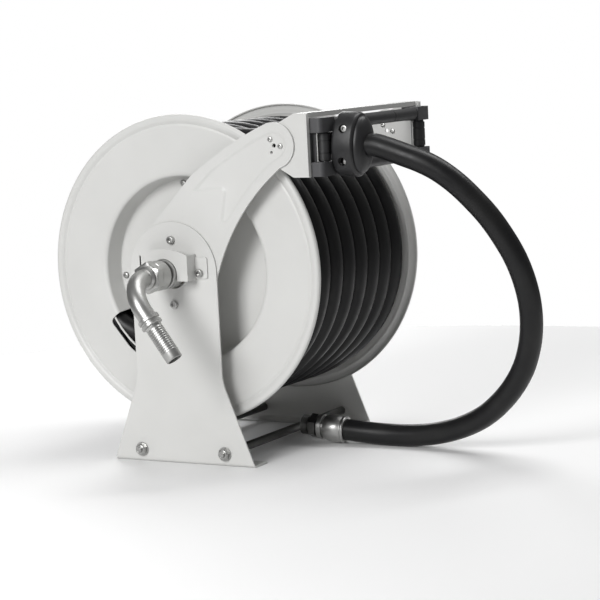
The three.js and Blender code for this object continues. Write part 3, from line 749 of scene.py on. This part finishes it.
def relief_plate(outline, holes, panel, panel_holes, front, back, depth):
    """A plate with one panel pressed into its front face with a soft shoulder."""
    mesh = bmesh.new()
    steps = ((1.2, 0.12), (2.6, 0.5), (4.0, 0.88), (5.2, 1))
    lines = [(inset(panel, distance, closed=True), front + depth * part) for distance, part in steps]
    face = filled(mesh, [outline, *holes, panel], front)
    floor_line, floor_x = lines[-1]
    floor = filled(mesh, [floor_line, *panel_holes], floor_x)
    rear = filled(mesh, [outline, *holes, *panel_holes], back)
    shoulder = [face[-1], *[[mesh.verts.new((x, p[0], p[1])) for p in line] for line, x in lines[:-1]],
                floor[0]]
    for ring, other in zip(shoulder, shoulder[1:]):
        wall(mesh, ring, other)
    for ring, other in zip([*face[:-1], *floor[1:]], rear):
        wall(mesh, ring, other)
    return mesh


def pivot_screws():
    """Places of the three small screws round the pivot hole; the lowest is left out."""
    return [arc(ARM_END, 11.5, a, a, 1)[0] for a in (58, 186, 295)]


def arm(side):
    low, high = ARM_LEFT if side < 0 else ARM_RIGHT
    front, back = (low.x, high.x) if side < 0 else (high.x, low.x)
    holes = [circle((0, 0), 31, 40)]
    holes += [circle(arc((0, 0), HUB_SCREWS_R, a, a, 1)[0], 4.3, 20) for a in (0, 90, 180, 270)]
    small = [circle(ARM_END, 3.4, 20), *[circle(p, 2.3, 16) for p in pivot_screws()]]
    return relief_plate(arm_outline(), holes, arm_panel(), small, front, back, -2 * side)


def socket_head(radius, height):
    """Cylinder head with a hexagon socket, seated on x = 0 and pointing towards -X."""
    return turned([
        (0, radius * 0.92), (-0.4, radius), (1.2 - height, radius), (0.3 - height, radius * 0.9),
        (-height, radius * 0.72),
        (-height, radius * 0.5, "hex"), (-0.45 * height, radius * 0.48, "hex"),
    ], 40)


def pan_head(radius, height):
    """Screw head with a hexagon socket, seated on x = 0 and pointing towards -X."""
    return turned([
        (0, radius * 0.9), (-0.3, radius), (-height * 0.55, radius), (-height * 0.85, radius * 0.86),
        (-height, radius * 0.62), (-height, radius * 0.46, "hex"), (-height * 0.35, radius * 0.44, "hex"),
    ], 36)


def arms():
    heads = []
    for side, name in ((-1, "left"), (1, "right")):
        piece(f"arm_{name}_visual", arm(side), ROOT, PAINT, [f"arm_{name}"], bevel=0.6)
        floor = ARM_LEFT[0].x + 2 if side < 0 else ARM_RIGHT[1].x - 2
        for place in pivot_screws()[:2]:
            heads.append(moved(pan_head(4.2, 2.6), along((-side, 0, 0), (floor, place.x, place.y))))
        inner = GUIDE[0].x + 2.5 + 6 if side < 0 else GUIDE[1].x - 2.5 - 6
        for place in pivot_screws()[:2]:
            heads.append(moved(pan_head(4.2, 2.6), along((side, 0, 0), (inner, place.x, place.y))))
    piece("pivot_screws", merged(*heads), ROOT, ZINC, sharp=28)


arms()


# ---------------------------------------------------------------- guide head

CHEEK = 2.5
CHEEK_LEFT = GUIDE[0].x + 6
CHEEK_RIGHT = GUIDE[1].x - 6
GUIDE_FRONT = GUIDE[0].y
GUIDE_TOP = GUIDE[1].z
CARRIER_LEFT = drum_box("roller_carrier_left")
CARRIER_RIGHT = drum_box("roller_carrier_right")


def guide_bracket():
    """Two cheeks, the strip that joins them, its lip, and the cheeks' folded front edges."""
    outline = rounded([
        (GUIDE_FRONT, 148), (-226.5, 148), (-200, 164), *arc((-184, 200), 22, -65, 85, 14),
        (-231, GUIDE_TOP), (GUIDE_FRONT, GUIDE_TOP),
    ], 2.5, 3, closed=True)
    hole = [circle(ARM_END, 3.4, 20), circle(pivot_screws()[2], 2.3, 16)]
    whole = plate(outline, CHEEK_LEFT, CHEEK_LEFT + CHEEK, hole)
    for part in (
        plate(outline, CHEEK_RIGHT - CHEEK, CHEEK_RIGHT, hole),
        block(CHEEK_LEFT, CHEEK_RIGHT, -250, -231, GUIDE_TOP - CHEEK, GUIDE_TOP),
        block(CHEEK_LEFT + 0.5, CHEEK_RIGHT - 0.5, -250, -250 + CHEEK, 238.5, GUIDE_TOP),
        block(CHEEK_LEFT - 6, CHEEK_LEFT + 1, GUIDE_FRONT, GUIDE_FRONT + CHEEK, 149, GUIDE_TOP - 1),
        block(CHEEK_RIGHT - 1, CHEEK_RIGHT + 6, GUIDE_FRONT, GUIDE_FRONT + CHEEK, 149, GUIDE_TOP - 1),
    ):
        whole = combined(whole, part, "UNION")
    return whole


def low_high(box, inward, start, end):
    """X range between two distances inwards from the outer side of a box."""
    outer = box[0].x if inward > 0 else box[1].x
    return sorted((outer + inward * start, outer + inward * end))


def carrier(box, inward):
    """Moulded corner piece: two blocks with a rounded front corner, a web, and a rib beside the roller."""
    low, high = box
    front = low.y
    outer = low.x if inward > 0 else high.x
    inner = high.x if inward > 0 else low.x
    plan = [(outer, -247), (inner, -247),
            *rounded([(inner, -250), (inner, front), (outer - inward, front)], 2, 3)[1:-1],
            *rounded([(inner, front), (outer, front), (outer, -247)], 9, 8)[1:-1]]
    parts = []
    for z0, z1 in ((215.5, 238), (148.4, 170.5)):
        upright = plate([(y, -x) for x, y in plan], z0, z1)
        parts.append(moved(upright, Matrix(((0, 0, -1, 0), (0, 1, 0, 0), (1, 0, 0, 0), (0, 0, 0, 1)))))
    parts.append(block(*low_high(box, inward, 0, 9), -256, -247, 168, 218))
    parts.append(block(*low_high(box, inward, 9, 11), -262, -247, 169, 217))
    return merged(*parts)


def roller(length, radius):
    """Roller with shouldered ends and two fine grooves."""
    end = length / 2
    bore = 4.5
    profile = [(-end, bore), (-end, radius - 2.2), (-end + 0.8, radius - 1.4), (-end + 2.4, radius - 1.4),
               (-end + 2.6, radius)]
    for at in (-0.22 * length, 0.22 * length):
        profile += [(at - 0.9, radius), (at - 0.5, radius - 0.7), (at + 0.5, radius - 0.7),
                    (at + 0.9, radius)]
    profile += [(end - 2.6, radius), (end - 2.4, radius - 1.4), (end - 0.8, radius - 1.4),
                (end, radius - 2.2), (end, bore)]
    return turned(profile, 40, loop=True)


def guide_head():
    piece("guide_bracket_visual", guide_bracket(), ROOT, PAINT, ["guide_bracket"], bevel=0.5)
    strips = []
    for name, box, inward in (("left", CARRIER_LEFT, 1), ("right", CARRIER_RIGHT, -1)):
        piece(f"roller_carrier_{name}_visual", carrier(box, inward), ROOT, GREY, [f"roller_carrier_{name}"],
              bevel=0.8)
        # A thin strip of pale paint beside each side roller is a painted highlight: it stands for the bright
        # line along the carrier's edge and is not a part of the reel.
        edge = low_high(box, inward, 11, 12.2)
        strips.append(block(*edge, -263.5, -249, 171, 215))
    piece("roller_side_highlight_strips", merged(*strips), ROOT, PAINT)
    for place in ("top", "bottom", "left", "right"):
        low, high = drum_box(f"roller_{place}")
        size = high - low
        upright = place in ("left", "right")
        matrix = along((0, 0, 1) if upright else (1, 0, 0), (low + high) / 2)
        shape = roller(size.z if upright else size.x, size.y / 2)
        piece(f"roller_{place}_visual", shape, f"roller_{place}_body", ROLLER_BLACK, [f"roller_{place}"],
              matrix=matrix, sharp=40)


guide_head()


# ---------------------------------------------------------------- hose stop

def stop_oval(inset_by, y):
    """A ring of points round the stop, drawn in at its rounded front and back edges."""
    width, height = STOP_HALF[0] - inset_by, STOP_HALF[1] - inset_by
    turns = [2 * math.pi * i / 96 for i in range(96)]
    return [Vector((width * math.cos(a), y, height * math.sin(a))) for a in turns]


def stop_half(side):
    """One half of the moulded stop: an upright oval, bored for the hose and counterbored for screws."""
    back, front = (y - ROLLER_Y for y in STOP_Y)
    round_edge = arc((0, 0), STOP_EDGE, 0, 90, 6)
    rings = [stop_oval(STOP_EDGE - p.y, back - STOP_EDGE + p.x) for p in round_edge]
    rings += [stop_oval(STOP_EDGE - p.x, front + STOP_EDGE - p.y) for p in round_edge]
    width, height = (half - STOP_EDGE + 0.4 for half in STOP_HALF)
    for step in range(1, 10):
        a = math.radians(8 * step)
        rings.append([Vector((p.x * math.cos(a) * width / STOP_HALF[0], front - STOP_DOME * math.sin(a),
                              p.z * math.cos(a) * height / STOP_HALF[1])) for p in stop_oval(0, 0)])
    body = skinned(rings)
    tools = [moved(turned([(front - 20, HOSE_R + 0.4), (back + 20, HOSE_R + 0.4)], 64),
                   Matrix.Rotation(math.pi / 2, 4, "Z"))]
    tools.append(block(*sorted((-side * 100, side * 0.15)), -200, 100, -100, 100))
    for up in (-1, 1):
        floor = STOP_SCREW_FLOOR if up == -side else STOP_SCREW_FLOOR - 6
        for radius, start in ((3.4, 0), (6.6, floor)):
            bore = turned([(side * start, radius), (side * 60, radius)], 32)
            tools.append(moved(bore, Matrix.Translation((0, STOP_SCREW.x, up * STOP_SCREW.y))))
    for tool in tools:
        body = combined(body, tool, "DIFFERENCE")
    return body


def hose_stop():
    """The screws go in from opposite sides, so each half shows one head and one nut."""
    centre = Matrix.Translation((-140, ROLLER_Y, lead_point(-140, ROLLER_Y).z))
    place = centre @ Matrix.Rotation(math.atan(LEAD_SLOPE), 4, "X")
    for side, name in ((-1, "left"), (1, "right")):
        piece(f"stop_half_{name}_visual", stop_half(side), ROOT, BLACK, [f"stop_half_{name}"],
              matrix=place, bevel=0.7, sharp=38)
    for name, up in (("upper", 1), ("lower", -1)):
        head = moved(socket_head(5.6, 6), Matrix.Translation((-STOP_SCREW_FLOOR - 0.4, 0, 0)))
        nut_seat = STOP_SCREW_FLOOR - 6
        nut = turned([
            (nut_seat, 3.2), (nut_seat, 5.2, "hex"), (nut_seat + 4.4, 5.2, "hex"), (nut_seat + 5, 4.4),
            (nut_seat + 5, 3.2),
        ], 36)
        shank = turned([(-STOP_SCREW_FLOOR - 1, 3), (nut_seat + 6, 3), (nut_seat + 6.8, 2.4)], 24)
        turn = Matrix.Rotation(0 if up > 0 else math.pi, 4, "Z")
        whole = moved(merged(head, nut, shank),
                      Matrix.Translation((0, STOP_SCREW.x, up * STOP_SCREW.y)) @ turn)
        piece(f"stop_screw_{name}_visual", whole, ROOT, CHROME, [f"stop_screw_{name}"],
              matrix=place, sharp=28)


hose_stop()


# ---------------------------------------------------------------- swivel and inlet

SWIVEL_R = 24


def swivel_bracket():
    low, high = drum_box("swivel_bracket")
    half, thick = 44.5, 2.5
    opening = SWIVEL_R + 0.8
    front, seat = low.x, high.x
    bottom = low.z
    top = arc((0, -60), 100, 63.6, 116.4, 16)
    face = rounded([(-half, bottom), (-opening, bottom)], 1) + arc((0, 0), opening, 180, 0, 24)
    face += [Vector((opening, bottom)), Vector((half, bottom)), *top]
    whole = plate(face, front, front + thick)
    for side in (-1, 1):
        web = block(front, seat, *sorted((side * (half - thick), side * half)), bottom, top[0].y)
        whole = combined(whole, web, "UNION")
        tab = rounded([(side * (half - thick), -9), (side * 66, -9), (side * 66, 25),
                       (side * (half - thick), 25)], 4, 4, closed=True)
        hole = circle((side * HUB_SCREWS_R, 0), 4.3, 20)
        whole = combined(whole, plate(tab, seat - thick, seat, [hole]), "UNION")
    return whole


def swivel_shapes():
    body = turned([
        (-204, 17.6), (-204, SWIVEL_R - 1), (-205, SWIVEL_R), (-236, SWIVEL_R), (-237, SWIVEL_R - 1),
        (-237, 19.5),
        (-244, 19), (-262, 19), (-262, 11.5), (-246, 11.5), (-246, 17.6),
    ], 64, loop=True)
    round_part = [(-242, 19.6), (-242.4, 22.4), (-244, 23.6)]
    for i in range(9):
        round_part += [(-245 - 2.1 * i, 24.0), (-246.2 - 2.1 * i, 23.75)]
    nut = turned([
        *round_part, (-264.4, 23.4), (-265, 22.2, "hex"), (-278, 22.2, "hex"), (-279.6, 21), (-280, 19.6),
        (-280, 13.6), (-272, 13.6), (-272, 19.6),
    ], 96, loop=True)
    return body, nut


def inlet_elbow():
    down = Vector((0, -math.sin(TAIL_TILT), -math.cos(TAIL_TILT)))
    corner = Vector((-340, 0, 0))
    start = corner + Vector((ELBOW_BEND, 0, 0))
    line = [Vector((-264, 0, 0)), Vector((-275, 0, 0))]
    for i in range(25):
        angle = math.pi / 2 * i / 24
        sideways = Vector((-1, 0, 0)) * ELBOW_BEND * math.sin(angle)
        line.append(start + sideways + down * ELBOW_BEND * (1 - math.cos(angle)))
    end = line[-1]
    line.append(end + down * 17)
    tube = swept(line, 14.6, 48)
    shoulder = turned([
        (-281, 14.7), (-281, 17.6), (-281.6, 18.2), (-283.6, 18.2), (-284.4, 17.4), (-286.5, 15.2),
        (-286.5, 14.4),
    ], 64)
    profile = [
        (11, 14.3), (11.4, 16.8), (12.2, 17.6), (16.6, 17.7), (17.4, 17), (17.8, 15.4), (20.8, 15.3),
        (21.2, 16.6), (22, 17.3),
        (25.2, 17.3), (26, 16.6), (26.8, 13.6), (30.6, 13.3),
    ]
    for i in range(12):
        at = 31.4 + 3.7 * i
        profile += [(at, 12.8), (at + 0.5, 12.9), (at + 2.7, 13.8), (at + 3.2, 13.7)]
    profile += [(77, 13.5), (86.5, 13.4), (88.4, 12.8), (89, 12.0), (89, 11), (74, 10.5)]
    tail = moved(turned(profile, 64), along(down, end))
    return merged(tube, shoulder, tail)


def swivel():
    piece("swivel_bracket_visual", swivel_bracket(), ROOT, PAINT, ["swivel_bracket"],
          bevel=0.7)
    body, nut = swivel_shapes()
    piece("swivel_body_visual", body, ROOT, ZINC, ["swivel_body"], sharp=28)
    piece("swivel_nut_visual", nut, ROOT, ZINC, ["swivel_nut"], sharp=24)
    piece("inlet_elbow_visual", inlet_elbow(), ROOT, CHROME, ["inlet_elbow"], sharp=35)
    for side, direction in (("left", 1), ("right", -1)):
        for i in range(4):
            low, high = drum_box(f"hub_screw_{side}_{i + 1}")
            centre = (low + high) / 2
            top = low.x if direction > 0 else high.x
            matrix = along((direction, 0, 0), (top + direction * 5.5, centre.y, centre.z))
            piece(f"hub_screw_{side}_{i + 1}_visual", socket_head(6.5, 5.5), ROOT, ZINC,
                  [f"hub_screw_{side}_{i + 1}"],
                  matrix=matrix, sharp=28)


swivel()


def arbor_end():
    """Washer and hexagon nut on the end of the spring arbor, inside the stand's hole."""
    nut = turned([
        (185.6, 15), (185.6, 21), (186, 21.6), (187, 21.6), (187.4, 21), (187.4, 15, "hex"), (191, 15, "hex"),
        (192, 13.4),
        (192, 8.6), (190, 8), (190, 1),
    ], 72)
    piece("arbor_nut", nut, ROOT, ZINC, sharp=26)


arbor_end()


# ---------------------------------------------------------------- looks of the CAD pieces that stay

LOOKS = {
    "powder_coat": PAINT, "hose_rubber": RUBBER, "black_plastic": BLACK, "grey_plastic": GREY,
    "zinc_plate": ZINC,
    "dark_steel": DARK_STEEL, "spring_steel": SPRING_STEEL, "bronze": BRONZE, "seal_rubber": SEAL,
}
for entry in frame["record"]["subparts"]:
    node = frame["nodes"][entry["node"]]
    node.data.materials.clear()
    node.data.materials.append(LOOKS[entry["material_slot"]])


# ---------------------------------------------------------------- stage

def make_stage():
    """A pale round floor."""
    floor = bmesh.new()
    bmesh.ops.create_circle(floor, cap_ends=True, segments=128, radius=1.35)
    data = bpy.data.meshes.new("floor")
    floor.to_mesh(data)
    floor.free()
    made = bpy.data.objects.new("floor", data)
    made.location = (HUB.x, HUB.y - 0.1, 0)
    pale = material("floor_white", (0.9, 0.9, 0.9), 0.7)[0]
    data.materials.append(pale)
    bpy.context.scene.collection.objects.link(made)


def soft_light(name, direction, distance, size, power):
    """A rectangular softbox that faces the reel from a direction."""
    lamp = bpy.data.lights.new(name, "AREA")
    lamp.shape = "RECTANGLE"
    lamp.size, lamp.size_y = size
    lamp.energy = power
    made = bpy.data.objects.new(name, lamp)
    made.location = HUB + Vector(direction).normalized() * distance
    made.rotation_euler = (HUB - made.location).to_track_quat("-Z", "Y").to_euler()
    bpy.context.scene.collection.objects.link(made)


def make_light():
    """Dim soft surroundings, a white backdrop, a key from the left, a large top light and a rear fill."""
    world = bpy.data.worlds.new("studio")
    world.use_nodes = True
    tree = world.node_tree
    ray = tree.nodes.new("ShaderNodeLightPath")
    strength = tree.nodes.new("ShaderNodeMapRange")
    strength.inputs["To Min"].default_value = 0.2
    strength.inputs["To Max"].default_value = 1.0
    tree.links.new(ray.outputs["Is Camera Ray"], strength.inputs["Value"])
    tree.links.new(strength.outputs["Result"], tree.nodes["Background"].inputs["Strength"])
    tree.nodes["Background"].inputs["Color"].default_value = (1, 1, 1, 1)
    bpy.context.scene.world = world
    bpy.context.scene.view_settings.view_transform = "Standard"
    soft_light("key", (-1, 0.05, 0.42), 3.0, (1.0, 1.4), 64)
    soft_light("overhead", (0.35, -0.3, 1), 2.6, (1.0, 2.4), 45)
    soft_light("rear_fill", (0.75, 0.65, 0.45), 3.2, (1.8, 1.8), 45)


make_stage()
make_light()
